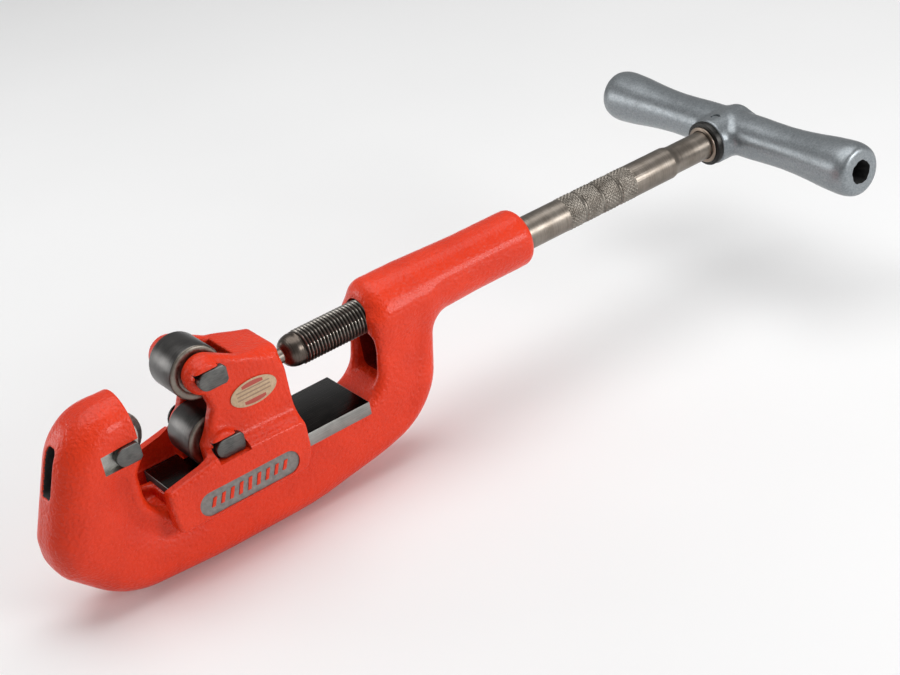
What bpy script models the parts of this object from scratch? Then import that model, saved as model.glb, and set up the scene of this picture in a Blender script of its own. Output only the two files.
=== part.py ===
"""Heavy-duty single-wheel pipe cutter: C-frame with cutter wheel, roller slide, feed screw and T-handle.

Dimensions are in millimetres in the tool's own frame: X runs along the feed screw towards the handle,
Z is up, and the origin is on the screw axis at the front face of the frame's barrel. SHIFT moves that
frame so that the finished object stands on z = 0, centred on x = y = 0, and MM turns it into metres.
"""

import math

import bmesh
import bpy
from mathutils import Vector

MM = 0.001
SHIFT = Vector((-44.5, 0.0, 86.3))
ROUND = 32
SLIVER = 0.00003
FLAT_ANGLE = 0.0005

# Frame casting
FRAME_HALF = 18.7
EDGE_OUT = 14.0
EDGE_DEPTH = 13.6
EDGE_IN = 2.5
RAIL = (-131.0, -15.6, 20.5, -44.9, -37.2)
BARREL_Z = 1.0
BARREL_END = 109.3
SCREW_BORE = 9.9

# Cutter wheel and its pin
WHEEL_X = -148.5
WHEEL_Z = -0.5
WHEEL_R = 15.2
WHEEL_PIN_R = 4.7

# Rollers and the slide that carries them
ROLLER_X = -101.8
ROLLER_Z = 19.7
ROLLER_R = 14.7
ROLLER_HALF = 11.7
ROLLER_PIN_R = 5.0
SLIDE_HALF = 19.0
SKIRT_HALF = 27.0
SLIDE_REAR = -56.4
FORK_INNER = 12.2
LUG_FACE = 23.6
LUG_R = 8.8
BADGE = (-125.4, -65.8, -50.0, -36.4, 0.8)
LABEL = (-78.0, 0.4, 13.6, 7.2)

# Feed screw
PITCH = 2.0
CREST_R = 9.525
ROOT_R = 8.3
THREAD_FROM = -40.0
THREAD_TURNS = 54
THREAD_STEPS = 8
SHANK_R = 9.56
NECK_R = 4.0
GROOVE = (-68.6, -63.4, 3.0)
NOSE_PIN_Y = 5.4

# T-handle
HANDLE_X = 272.7
HANDLE_HALF = 102.0
BOSS_FRONT = 253.5
CROSS_PIN_X = 261.0
SHANK_END_R = 8.5

RED = (0.79, 0.065, 0.025, 1.0)
SILVER = (0.2, 0.225, 0.24, 1.0)
STEEL = (0.19, 0.16, 0.135, 1.0)
DARK_STEEL = (0.085, 0.08, 0.078, 1.0)
BRIGHT_STEEL = (0.52, 0.5, 0.47, 1.0)
TAN = (0.6, 0.42, 0.28, 1.0)


def clear_scene():
    for obj in list(bpy.data.objects):
        bpy.data.objects.remove(obj, do_unlink=True)


def material(name, color, metallic, roughness):
    mat = bpy.data.materials.new(name)
    mat.use_nodes = True
    shader = mat.node_tree.nodes["Principled BSDF"]
    shader.inputs["Base Color"].default_value = color
    shader.inputs["Metallic"].default_value = metallic
    shader.inputs["Roughness"].default_value = roughness
    mat.diffuse_color = color
    return mat


def make(name, verts, faces, pivot=(0, 0, 0)):
    """An object from millimetre points of the tool's frame, with its origin at the pivot."""
    pivot = Vector(pivot)
    mesh = bpy.data.meshes.new(name)
    mesh.from_pydata([(Vector(v) - pivot) * MM for v in verts], [], faces)
    work = bmesh.new()
    work.from_mesh(mesh)
    bmesh.ops.remove_doubles(work, verts=work.verts, dist=1e-7)
    bmesh.ops.recalc_face_normals(work, faces=work.faces)
    work.to_mesh(mesh)
    work.free()
    obj = bpy.data.objects.new(name, mesh)
    obj.location = (pivot + SHIFT) * MM
    bpy.context.scene.collection.objects.link(obj)
    return obj


def is_closed(mesh):
    """True where the mesh has faces and every edge joins exactly two of them."""
    work = bmesh.new()
    work.from_mesh(mesh)
    found = len(work.faces) > 0 and all(edge.is_manifold for edge in work.edges)
    work.free()
    return found


def combine(base, others, operation):
    """Joins or cuts the others into base, one after another, and removes them.

    The exact solver comes back empty or open on a few of the slide's cuts, so there the manifold solver steps in.
    """
    for other in others:
        step = base.modifiers.new(operation.title(), "BOOLEAN")
        step.operation = operation
        step.object = other
        for solver in ("EXACT", "MANIFOLD"):
            step.solver = solver
            bpy.context.view_layer.update()
            graph = bpy.context.evaluated_depsgraph_get()
            result = bpy.data.meshes.new_from_object(base.evaluated_get(graph))
            if is_closed(result):
                break
        base.modifiers.clear()
        base.data = result
        bpy.data.objects.remove(other, do_unlink=True)
    return base


def tidy(obj):
    """Welds points that a Boolean left almost on top of each other and splits flat faces into fuller triangles."""
    work = bmesh.new()
    work.from_mesh(obj.data)
    bmesh.ops.remove_doubles(work, verts=work.verts, dist=SLIVER)
    bmesh.ops.dissolve_degenerate(work, edges=work.edges, dist=SLIVER)
    bmesh.ops.dissolve_limit(work, angle_limit=FLAT_ANGLE, verts=work.verts, edges=work.edges)
    bmesh.ops.triangulate(work, faces=work.faces)
    flat = [edge for edge in work.edges if edge.is_manifold and edge.calc_face_angle() < FLAT_ANGLE]
    bmesh.ops.beautify_fill(work, faces=work.faces, edges=flat)
    work.to_mesh(obj.data)
    work.free()


def finish(obj, mat, angle=35.0):
    tidy(obj)
    obj.data.name = obj.name
    obj.data.materials.clear()
    obj.data.materials.append(mat)
    obj.data.shade_smooth()
    obj.data.set_sharp_from_angle(angle=math.radians(angle))
    return obj


def arc(cx, cz, radius, start, end, count):
    """Points (x, z) of an arc, with its angles in degrees."""
    points = []
    for k in range(count + 1):
        angle = math.radians(start + (end - start) * k / count)
        points.append((cx + radius * math.cos(angle), cz + radius * math.sin(angle)))
    return points


def rounded(corners, step=14.0):
    """A closed outline from corners (x, z, radius, inset). Each point keeps its corner's inset."""
    outline = []
    total = len(corners)
    for i, (x, z, radius, inset) in enumerate(corners):
        here = Vector((x, z))
        if radius == 0:
            outline.append((here, inset))
            continue
        back = (Vector(corners[i - 1][:2]) - here).normalized()
        ahead = (Vector(corners[(i + 1) % total][:2]) - here).normalized()
        half_turn = (math.pi - back.angle(ahead)) / 2
        reach = radius * math.tan(half_turn)
        centre = here + (back + ahead).normalized() * (radius / math.cos(half_turn))
        first = here + back * reach - centre
        last = here + ahead * reach - centre
        start = math.atan2(first.y, first.x)
        turn = math.atan2(last.y, last.x) - start
        turn = (turn + math.pi) % (2 * math.pi) - math.pi
        count = max(1, math.ceil(abs(math.degrees(turn)) / step))
        for k in range(count + 1):
            angle = start + turn * k / count
            outline.append((centre + radius * Vector((math.cos(angle), math.sin(angle))), inset))
    return outline


def inset_vectors(outline):
    """The way each point moves inwards, in full, as the outline shrinks towards a flat side."""
    vectors = []
    total = len(outline)
    for i, (here, inset) in enumerate(outline):
        if isinstance(inset, tuple):
            vectors.append(Vector(inset))
            continue
        before = (here - outline[i - 1][0]).normalized()
        after = (outline[(i + 1) % total][0] - here).normalized()
        normal = Vector((before.y, -before.x)) + Vector((after.y, -after.x))
        normal.normalize()
        stretch = 1 / max(0.5, normal.dot(Vector((after.y, -after.x))))
        vectors.append(-normal * inset * stretch)
    return vectors


def slab(name, corners, half, depth, levels=4, middle=0.0):
    """An anticlockwise outline in X-Z, thickened to y = middle +/- half, with elliptical edges depth deep."""
    outline = rounded(corners)
    vectors = inset_vectors(outline)
    rings = []
    for side in (-1, 1):
        for k in range(levels + 1):
            angle = math.radians(90 * (levels - k if side < 0 else k) / levels)
            y = middle + side * (half - depth * (1 - math.sin(angle)))
            share = 1 - math.cos(angle)
            rings.append([(p.x + v.x * share, y, p.y + v.y * share) for (p, _), v in zip(outline, vectors)])
    return make(name, *loft(rings))


def loft(rings):
    """Joins rings of points into one closed skin with a flat face at each end."""
    count = len(rings[0])
    verts = [point for ring in rings for point in ring]
    faces = [tuple(range(count)), tuple(range(len(verts) - count, len(verts)))]
    for k in range(len(rings) - 1):
        for i in range(count):
            j = (i + 1) % count
            faces.append((k * count + i, k * count + j, (k + 1) * count + j, (k + 1) * count + i))
    return verts, faces


def plate(name, points, y0, y1):
    """A flat outline of (x, z) points between two y values."""
    return make(name, *loft([[(x, y, z) for x, z in points] for y in (y0, y1)]))


def box(name, x0, x1, y0, y1, z0, z1):
    return plate(name, [(x0, z0), (x1, z0), (x1, z1), (x0, z1)], y0, y1)


def turned(name, profile, axis, centre=(0, 0, 0), pivot=(0, 0, 0), segments=ROUND):
    """A solid of revolution. The profile holds (distance along the axis, radius) from end to end."""
    rings = []
    for along, radius in profile:
        ring = []
        for k in range(segments):
            angle = 2 * math.pi * (k + 0.5) / segments
            ring.append(place(axis, along, radius * math.cos(angle), radius * math.sin(angle), centre))
        rings.append(ring)
    return make(name, *loft(rings), pivot)


def place(axis, along, side, up, centre):
    if axis == "X":
        point = (along, side, up)
    elif axis == "Y":
        point = (side, along, up)
    else:
        point = (side, up, along)
    return tuple(a + b for a, b in zip(point, centre))


def rod(name, axis, start, end, radius, centre=(0, 0, 0), pivot=(0, 0, 0), segments=ROUND):
    return turned(name, [(start, radius), (end, radius)], axis, centre, pivot, segments)


def obround(x0, x1, z0, z1, bevel=0.0):
    """An outline with a full round at its -X end, and a full round or a bevel at its +X end."""
    radius = (z1 - z0) / 2
    middle = (z0 + z1) / 2
    left = arc(x0 + radius, middle, radius, 90, 270, 10)
    if bevel:
        return left + [(x1 - bevel, z0), (x1, z0 + bevel), (x1, z1 - bevel), (x1 - bevel, z1)]
    return left + arc(x1 - radius, middle, radius, -90, 90, 10)


def frame_outline():
    """The C-frame seen from the side: hook, spine and arm, ending inside the barrel."""
    return [
        (-142.5, 25.5, 0, (-2.5, -EDGE_OUT)),
        (-176.0, 25.5, 35.0, EDGE_OUT),
        (-199.3, -36.0, 16.0, EDGE_OUT),
        (-199.3, -52.3, 22.0, EDGE_OUT),
        (-168.9, -82.7, 48.0, EDGE_OUT),
        (-112.0, -86.3, 200.0, EDGE_OUT),
        (-47.0, -86.3, 150.0, EDGE_OUT),
        (26.5, -66.5, 46.0, EDGE_OUT),
        (40.5, -14.0, 0, EDGE_OUT),
        (42.0, 0.0, 0, (-EDGE_OUT, -2.5)),
        (3.0, 0.0, 0, EDGE_IN),
        (0.3, -8.0, 0, EDGE_IN),
        (-5.2, -41.0, 17.0, EDGE_IN),
        (-147.5, -41.0, 15.0, EDGE_IN),
        (-147.5, -14.0, 8.0, EDGE_IN),
        (-142.5, -7.0, 6.0, EDGE_IN),
    ]


def narrow_arm(obj):
    """Draws the arm in towards the barrel, which is narrower than the spine."""
    for vert in obj.data.vertices:
        x = vert.co.x / MM
        z = vert.co.z / MM
        if x > -60:
            share = min(1.0, max(0.0, (z + 50.0) / 34.0))
            vert.co.y *= 1 - 0.16 * share * share * (3 - 2 * share)


def build_frame(mat):
    frame = slab("frame", frame_outline(), FRAME_HALF, EDGE_DEPTH)
    narrow_arm(frame)
    barrel_profile = [
        (0.0, 12.0), (0.6, 13.6), (2.4, 15.5), (5.4, 17.0), (10.0, 17.9), (30.0, 17.9), (52.0, 17.1),
        (71.0, 16.5), (99.3, 16.5), (104.8, 15.9), (108.3, 14.2), (BARREL_END, 12.2),
    ]
    barrel = turned("barrel", barrel_profile, "X", (0, 0, BARREL_Z))
    x0, x1, half, z0, z1 = RAIL
    rail = slab(
        "rail",
        [(x0, z0, 0, 0.6), (x1, z0, 0, 0.6), (x1, z1, 0, 0.6), (x0, z1, 0, 0.6)],
        half,
        0.6,
        levels=1,
    )
    combine(frame, [barrel, rail], "UNION")
    combine(frame, frame_cutters(), "DIFFERENCE")
    return finish(frame, mat)


def frame_cutters():
    """Tools for the wheel pocket, throat and arm channels, front slot, pin seat, pin bore and screw bore."""
    pocket = [
        (-125.0, 18.5, 0, 0), (-160.0, 18.5, 10.0, 0), (-174.0, 4.0, 12.0, 0), (-178.0, -25.0, 12.0, 0),
        (-149.0, -25.0, 6.0, 0), (-149.0, -20.0, 0, 0), (-125.0, -20.0, 0, 0),
    ]
    throat = [
        (-132.5, 30.0, 0, 0), (-144.5, 30.0, 0, 0), (-144.5, -10.0, 0, 0), (-153.5, -14.0, 3.0, 0),
        (-153.5, -47.0, 16.0, 0), (-132.5, -47.0, 0, 0),
    ]
    arm = [(-14.0, -8.0, 0, 0), (-14.0, -34.0, 0, 0), (16.0, -34.0, 9.0, 0), (19.0, -8.0, 0, 0)]
    seat = WHEEL_Z + 5.3
    return [
        slab("pocket", pocket, 9.3, 0.0, levels=1),
        slab("throat", throat, 10.6, 0.0, levels=1),
        slab("arm_channel", arm, 9.8, 3.0, levels=2),
        slab("front_slot", [(-205, 11, 0, 0), (-205, -13, 0, 0), (-168, -13, 3, 0), (-168, 11, 3, 0)], 4.0, 1.5, 2),
        box("pin_seat", -164.3, -138.0, -30.0, -15.4, WHEEL_Z - 5.3, seat),
        rod("pin_bore", "Y", -30, 30, WHEEL_PIN_R + 0.3, (WHEEL_X, 0, WHEEL_Z)),
        turned("screw_bore", [(-8, 10.8), (0.3, 10.8), (1.6, SCREW_BORE), (130, SCREW_BORE)], "X"),
    ]


def slide_outline():
    """Side outline of the slide's body, with its two fork arms at the -X end."""
    upper_arm = [(x, z, 0, 2.5) for x, z in arc(-100.4, 20.0, 10.8, 68, 252, 12)]
    return [
        (SLIDE_REAR, -40.0, 0, 2.5),
        (SLIDE_REAR, 16.0, 4.0, 2.5),
        (-74.5, 20.2, 6.0, 2.5),
        (-80.6, 21.4, 3.2, 2.5),
        *upper_arm,
        (-101.6, 1.5, 5.0, 2.5),
        (-107.0, -10.5, 6.0, 2.5),
        (-110.3, -18.0, 4.0, 2.5),
        (-110.3, -40.0, 0, 2.5),
    ]


def skirt_outline():
    """Side outline of the skirts that straddle the rail. Its top edge flares in to meet the body."""
    return [
        (SLIDE_REAR - 0.4, -18.5, 0, (-1.2, -7.0)),
        (-112.0, -18.5, 0, (0.0, -6.0)),
        (-139.0, -27.0, 0, (1.8, -4.0)),
        (-139.8, -37.0, 4.0, 1.2),
        (-138.6, -52.4, 4.5, 1.2),
        (-61.5, -52.4, 5.0, 1.2),
        (SLIDE_REAR - 0.4, -42.0, 6.0, 1.2),
    ]


def slide_cutters():
    """Tools for the rail channel, roller pocket, bores, pin seats, badge recess and lower clip's spot face."""
    x0, x1, z0, z1, depth = BADGE
    cutters = [
        box("rail_channel", -160, -40, -20.8, 20.8, -45.2, -36.9),
        box("lip_channel", -160, -40, -19.3, 19.3, -60, -45.0),
        box("front_gap", -160, -110.9, -20.8, 20.8, -37.5, 10),
        box("roller_pocket", -160, -81.0, -FORK_INNER, FORK_INNER, -60, 60),
        plate("badge_recess", obround(x0, x1, z0, z1), -SKIRT_HALF - 5, -SKIRT_HALF + depth),
        rod("nose_bore", "X", -80.0, -50.0, NECK_R + 0.4, segments=24),
    ]
    for side in (-1, 1):
        middle = (0.5 * (GROOVE[0] + GROOVE[1]), side * NOSE_PIN_Y, 0)
        cutters.append(rod("nose_pin_bore", "Z", -50.0, 7.0, 2.3, middle, segments=16))
        z = side * ROLLER_Z
        cutters.append(rod("pin_bore", "Y", -40, 40, ROLLER_PIN_R + 0.3, (ROLLER_X, 0, z)))
        cutters.append(box("pin_seat", -108.6, -90.2, -40, -20.4, z - 5.5, z + 5.5))
    cutters.append(rod("spot_face", "Y", 22.1, 40, 9.6, (ROLLER_X, 0, -ROLLER_Z)))
    return cutters


def build_slide(mat):
    slide = slab("slide_housing", slide_outline(), SLIDE_HALF, 2.5, levels=2)
    pieces = [slab("skirts", skirt_outline(), SKIRT_HALF, 7.0, levels=3)]
    for z in (-ROLLER_Z, ROLLER_Z):
        centre = (ROLLER_X + 0.3, 0, z)
        far = [(15.0, 10.1), (21.0, 9.8), (22.0, 8.8)]
        if z < 0:
            far = [(y, radius - 1.6) for y, radius in far]
        pieces.append(plate("near_lug", arc(centre[0], z, LUG_R, 15, 165, 15), -LUG_FACE, -15.0))
        pieces.append(turned("far_boss", far, "Y", centre))
    combine(slide, pieces, "UNION")
    combine(slide, slide_cutters(), "DIFFERENCE")
    return finish(slide, mat)


def build_wheel(mat):
    hub = 8.9
    profile = [
        (-hub, 8.4), (-3.2, 8.4), (-2.6, 12.0), (-0.15, WHEEL_R), (0.15, WHEEL_R),
        (2.6, 12.0), (3.2, 8.4), (hub, 8.4),
    ]
    centre = (WHEEL_X, 0, WHEEL_Z)
    wheel = turned("cutter_wheel", profile, "Y", centre, centre, 40)
    combine(wheel, [rod("bore", "Y", -20, 20, WHEEL_PIN_R + 0.3, centre)], "DIFFERENCE")
    return finish(wheel, mat)


def build_roller(name, z, mat):
    half = ROLLER_HALF
    profile = [(-half, ROLLER_R - 1.0), (-half + 1.0, ROLLER_R), (half - 1.0, ROLLER_R), (half, ROLLER_R - 1.0)]
    centre = (ROLLER_X, 0, z)
    roller = turned(name, profile, "Y", centre, centre, 40)
    combine(roller, [rod("bore", "Y", -20, 20, ROLLER_PIN_R + 0.3, centre)], "DIFFERENCE")
    return finish(roller, mat)


def build_pin(name, centre, radius, head, shank, groove, mat):
    """A pin along Y. Its key-shaped head is (x0, x1, half height, y0, y1); the groove takes a clip."""
    x0, x1, half, y0, y1 = head
    z = centre[2]
    pin = plate(name, obround(x0, x1, z - half, z + half, bevel=1.6), y0, y1)
    profile = [(y1 - 1.0, radius), (shank - 0.6, radius), (shank, radius - 0.6)]
    neck = [(groove[0], radius - 0.9), (groove[1], radius - 0.9)]
    profile[1:1] = [(groove[0] - 0.01, radius), *neck, (groove[1] + 0.01, radius)]
    combine(pin, [turned("shaft", profile, "Y", centre)], "UNION")
    return finish(pin, mat)


def build_clip(name, centre, inner, outer, y0, y1, mat):
    """An open retaining ring round a pin's groove."""
    points = arc(centre[0], centre[2], outer, -60, 240, 20) + arc(centre[0], centre[2], inner, 240, -60, 20)
    return finish(plate(name, points, y0, y1), mat)


def build_wheel_group(steel, bright, dark):
    centre = (WHEEL_X, 0, WHEEL_Z)
    build_wheel(bright)
    head = (-157.2, -143.4, 5.0, -19.8, -15.7)
    build_pin("wheel_pin", centre, WHEEL_PIN_R, head, 22.4, (19.2, 20.6), steel)
    build_clip("wheel_pin_clip", centre, WHEEL_PIN_R - 0.55, 8.2, 19.4, 20.4, dark)


def build_roller_groups(steel, dark):
    for name, z in (("upper", ROLLER_Z), ("lower", -ROLLER_Z)):
        centre = (ROLLER_X, 0, z)
        build_roller(f"{name}_roller", z, dark)
        head = (-107.6, -91.2, 5.1, -24.3, -20.7)
        build_pin(f"{name}_roller_pin", centre, ROLLER_PIN_R, head, 26.0, (22.4, 23.8), steel)
        build_clip(f"{name}_pin_clip", centre, ROLLER_PIN_R - 0.55, 7.9, 22.6, 23.6, dark)


def build_nose_parts(steel):
    thrust = rod("thrust_button", "X", -79.6, -73.4, NECK_R, segments=24)
    finish(thrust, steel)
    for name, side in (("left", -1), ("right", 1)):
        middle = (0.5 * (GROOVE[0] + GROOVE[1]), side * NOSE_PIN_Y, 0)
        finish(rod(f"nose_pin_{name}", "Z", -36.0, 6.6, 2.0, middle, middle, 16), steel)


def build_label(mat):
    x, z, half_x, half_z = LABEL
    points = [(x + (px - x) * half_x, z + (pz - z) * half_z) for px, pz in arc(x, z, 1.0, 0, 354, 35)]
    return finish(plate("oval_label", points, -SLIDE_HALF - 0.65, -SLIDE_HALF - 0.3), mat)


def screw_rings(profile):
    rings = []
    for along, radius in profile:
        ring = []
        for k in range(THREAD_STEPS * 2):
            angle = math.pi * k / THREAD_STEPS
            ring.append((along, radius * math.cos(angle), radius * math.sin(angle)))
        rings.append(ring)
    return rings


def thread_lines():
    """Helical lines of points: the root, then the two edges of the crest. Right-handed towards +X."""
    steps = THREAD_STEPS * 2
    lines = []
    for offset, radius in ((0.0, ROOT_R), (0.44, CREST_R), (0.56, CREST_R)):
        line = []
        for k in range(THREAD_TURNS * steps + (steps + 1 if offset == 0 else 1)):
            angle = 2 * math.pi * k / steps
            along = THREAD_FROM + PITCH * (k / steps + offset)
            line.append((along, radius * math.cos(angle), radius * math.sin(angle)))
        lines.append(line)
    return lines


def screw_skin(front, rear):
    """One closed skin: front rings, the helical thread, then rear rings."""
    steps = THREAD_STEPS * 2
    verts = []
    faces = []

    def add(points):
        start = len(verts)
        verts.extend(points)
        return list(range(start, start + len(points)))

    def bridge(a, b):
        for i in range(len(a)):
            j = (i + 1) % len(a)
            faces.append((a[i], a[j], b[j], b[i]))

    front_rings = [add(ring) for ring in screw_rings(front)]
    root, crest_a, crest_b = [add(line) for line in thread_lines()]
    rear_rings = [add(ring) for ring in screw_rings(rear)]
    faces.append(tuple(front_rings[0]))
    faces.append(tuple(rear_rings[-1]))
    for rings in (front_rings, rear_rings):
        for a, b in zip(rings, rings[1:]):
            bridge(a, b)
    for k in range(THREAD_TURNS * steps):
        faces.append((root[k], root[k + 1], crest_a[k + 1], crest_a[k]))
        faces.append((crest_a[k], crest_a[k + 1], crest_b[k + 1], crest_b[k]))
        faces.append((crest_b[k], crest_b[k + 1], root[k + 1 + steps], root[k + steps]))
    last = THREAD_TURNS * steps
    for k in range(steps):
        ahead = (k + 1) % steps
        faces.append((front_rings[-1][k], front_rings[-1][ahead], root[k + 1], root[k]))
        faces.append((root[last + k], root[last + k + 1], rear_rings[0][ahead], rear_rings[0][k]))
    faces.append((front_rings[-1][0], root[0], crest_a[0], crest_b[0], root[steps]))
    faces.append((root[last], crest_a[last], crest_b[last], root[last + steps], rear_rings[0][0]))
    return verts, faces


def build_screw(mat):
    front = [
        (-73.0, 3.4), (-72.4, NECK_R), (GROOVE[0], NECK_R), (GROOVE[0] + 0.01, GROOVE[2]),
        (GROOVE[1] - 0.01, GROOVE[2]), (GROOVE[1], NECK_R), (-49.0, NECK_R), (-48.6, 5.2), (-47.4, 6.8),
        (-45.0, 8.2), (-42.4, 8.9), (-41.4, 8.9), (-40.6, ROOT_R - 0.3),
    ]
    end = THREAD_FROM + PITCH * (THREAD_TURNS + 1)
    rear = [(end + 0.6, ROOT_R - 0.3), (end + 1.6, SHANK_R)]
    band = 10.7
    gap = 2.2
    for k in range(4):
        start = 140.2 + k * (band + gap)
        rear += [(start, SHANK_R), (start + 0.5, SHANK_R + 0.2), (start + band - 0.5, SHANK_R + 0.2)]
        rear += [(start + band, SHANK_R)]
        if k < 3:
            rear += [(start + band + 0.3, SHANK_R - 0.5), (start + band + gap - 0.3, SHANK_R - 0.5)]
    rear += [(219.5, SHANK_R), (223.5, SHANK_END_R), (278.0, SHANK_END_R), (278.8, SHANK_END_R - 0.8)]
    screw = make("feed_screw", *screw_skin(front, rear))
    combine(screw, [rod("pin_hole", "Z", -20, 20, 2.8, (CROSS_PIN_X, 0, 0), segments=20)], "DIFFERENCE")
    return finish(screw, mat)


def build_handle(mat):
    half_profile = [
        (HANDLE_HALF, 11.3), (HANDLE_HALF - 0.8, 12.9), (HANDLE_HALF - 3.0, 14.4), (HANDLE_HALF - 7.0, 15.4),
        (91.0, 15.6), (80.0, 14.9), (68.0, 13.6), (56.0, 12.7), (45.0, 12.3), (33.0, 12.5), (22.0, 12.9),
        (10.0, 13.0),
    ]
    profile = [(-y, radius) for y, radius in half_profile] + half_profile[::-1]
    centre = (HANDLE_X, 0, 0)
    handle = turned("t_handle", profile, "Y", centre)
    boss = [
        (BOSS_FRONT, 12.9), (BOSS_FRONT + 0.9, 13.75), (HANDLE_X + 5, 13.9), (HANDLE_X + 9.5, 12.6),
        (HANDLE_X + 12, 10.0),
    ]
    combine(handle, [turned("boss", boss, "X")], "UNION")
    cutters = [
        rod("shank_bore", "X", 240, 279.4, SHANK_END_R + 0.3),
        rod("cross_hole", "Z", -30, 30, 2.8, (CROSS_PIN_X, 0, 0), segments=20),
        rod("end_hole", "Y", 40, 120, 7.0, centre, segments=24),
        rod("end_hole", "Y", -120, -40, 7.0, centre, segments=24),
    ]
    combine(handle, cutters, "DIFFERENCE")
    return finish(handle, mat)


def build_handle_parts(steel, bright, dark):
    pin = rod("handle_cross_pin", "Z", -13.0, 13.0, 2.5, (CROSS_PIN_X, 0, 0), segments=20)
    finish(pin, steel)
    inner = SHANK_END_R + 0.35
    for name, x0, x1, outer, mat in (
        ("handle_washer", 249.8, 253.2, 13.2, dark),
        ("handle_snap_ring", 248.4, 249.5, 10.9, bright),
    ):
        ring = turned(name, [(x0, outer - 0.3), (x0 + 0.3, outer), (x1, outer)], "X")
        combine(ring, [rod("hole", "X", x0 - 2, x1 + 2, inner)], "DIFFERENCE")
        finish(ring, mat)


def main():
    clear_scene()
    dark = material("dark_steel", DARK_STEEL, 1.0, 0.35)
    steel = material("pin_steel", STEEL, 1.0, 0.4)
    bright = material("bright_steel", BRIGHT_STEEL, 1.0, 0.3)
    build_frame(material("frame_paint", RED, 0.0, 0.35))
    build_slide(material("slide_paint", RED, 0.0, 0.35))
    build_wheel_group(steel, bright, dark)
    build_roller_groups(steel, dark)
    build_nose_parts(steel)
    build_label(material("label_foil", TAN, 0.3, 0.4))
    build_screw(material("screw_steel", STEEL, 1.0, 0.35))
    build_handle(material("handle_paint", SILVER, 0.6, 0.4))
    build_handle_parts(steel, bright, dark)


main()
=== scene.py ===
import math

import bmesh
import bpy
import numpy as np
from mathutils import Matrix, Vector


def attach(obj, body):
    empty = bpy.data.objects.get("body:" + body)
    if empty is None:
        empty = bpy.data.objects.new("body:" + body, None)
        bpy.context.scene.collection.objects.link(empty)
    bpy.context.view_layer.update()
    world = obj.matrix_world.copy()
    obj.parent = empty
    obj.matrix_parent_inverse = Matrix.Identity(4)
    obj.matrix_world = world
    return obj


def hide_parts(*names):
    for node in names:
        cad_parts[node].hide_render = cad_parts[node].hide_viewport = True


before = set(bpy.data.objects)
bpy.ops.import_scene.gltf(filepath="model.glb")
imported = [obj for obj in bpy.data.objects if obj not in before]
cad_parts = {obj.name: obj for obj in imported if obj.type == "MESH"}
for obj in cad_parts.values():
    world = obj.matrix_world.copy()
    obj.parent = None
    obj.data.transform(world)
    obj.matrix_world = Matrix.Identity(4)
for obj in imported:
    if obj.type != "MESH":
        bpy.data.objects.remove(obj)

# Looks of the heavy-duty pipe cutter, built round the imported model's frame.
#
# Lengths are in millimetres in the tool's own frame (X along the feed screw towards the handle, Z up, origin
# on the screw axis at the barrel's front face) until placed() turns them into the row frame in metres.
# The three castings are skins of smooth distance fields, so that their edges and joins have cast fillets.
# Machined seats, bores and ways are then cut into them crisply. The rest are turned or milled shapes.

MM = 0.001
SHIFT = np.array((-44.5, 0.0, 86.3))
AXIS_UP = float(SHIFT[2] * MM)

# Camera: angles in degrees, target and distance in tool millimetres
CAM_AZIMUTH = -31.41
CAM_ELEVATION = 29.05
CAM_ROLL = -10.97
CAM_TARGET = (53.1, 0.0, -38.1)
CAM_DISTANCE = 1052.05
CAM_LENS = 76.49

# Frame casting; RAIL is (x0, x1, half width, z0, z1) and a pin's seat is (x0, x1, floor y, half height)
FRAME_HALF = 18.7
FRAME_ROUND = 16.0
ARM_ROUND = 11.0
ARM_TAPER = 0.16
TIP_ROUND = 17.0
TIP_SLIM = 1.7
COVE_DEPTH = 0.9
DISH_DEPTH = 2.6
POCKET_HALF = 9.3
THROAT_HALF = 10.6
CHANNEL_HALF = 9.8
SLOT_Z = -1.0
SLOT_HALF_HEIGHT = 12.0
SLOT_HALF_WIDTH = 4.0
SLOT_END = -168.0
RAIL = (-131.0, -15.6, 20.5, -44.9, -37.2)
BARREL_Z = 1.0
BARREL_LENGTH = 109.3
SCREW_BORE = 9.9
WHEEL_SEAT = (-164.3, -138.0, -15.4, 5.3)

# Wheel, rollers, pins; WHEEL is its centre (x, z), and a bore has BORE_GAP round its pin
WHEEL = (-148.5, -0.5)
WHEEL_R = 15.2
WHEEL_PIN_R = 4.7
ROLLER_X = -101.8
ROLLER_Z = 19.7
ROLLER_R = 14.7
ROLLER_HALF = 11.7
ROLLER_PIN_R = 5.0
BORE_GAP = 0.3

# Slide; BADGE is (x0, x1, z0, z1, depth) and LABEL is (x, z, half length, half height)
SLIDE_HALF = 19.0
SKIRT_HALF = 27.0
SLIDE_REAR = -56.4
FORK_INNER = 12.2
LUG_FACE = 23.6
LUG_R = 8.8
BOSS_OFFSET = 0.3
ROLLER_SEAT = (-108.6, -90.2, -20.4, 5.5)
SOLE_Z = -36.9
BADGE = (-125.4, -65.8, -50.0, -36.4, 0.8)
LABEL = (-78.0, 0.4, 13.6, 7.2)

# Feed screw
PITCH = 2.0
CREST_R = 9.525
ROOT_R = 8.3
THREAD = (-40.0, 70.0)
SHANK_R = 9.56
SHANK_END_R = 8.5
KNURL_START = 140.2
KNURL_BAND = 10.7
KNURL_GAP = 2.2
KNURL_END = KNURL_START + 4 * KNURL_BAND + 3 * KNURL_GAP
KNURL_DIAMONDS = 24

# T-handle
HANDLE_X = 272.7
HANDLE_HALF = 102.0
BOSS_FRONT = 253.5
CROSS_PIN_X = 261.0
CROSS_PIN_R = 2.5


# ---------------------------------------------------------------- mesh helpers

def placed(points):
    """Tool millimetres to row-frame metres."""
    return (np.asarray(points, float) + SHIFT) * MM


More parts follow.
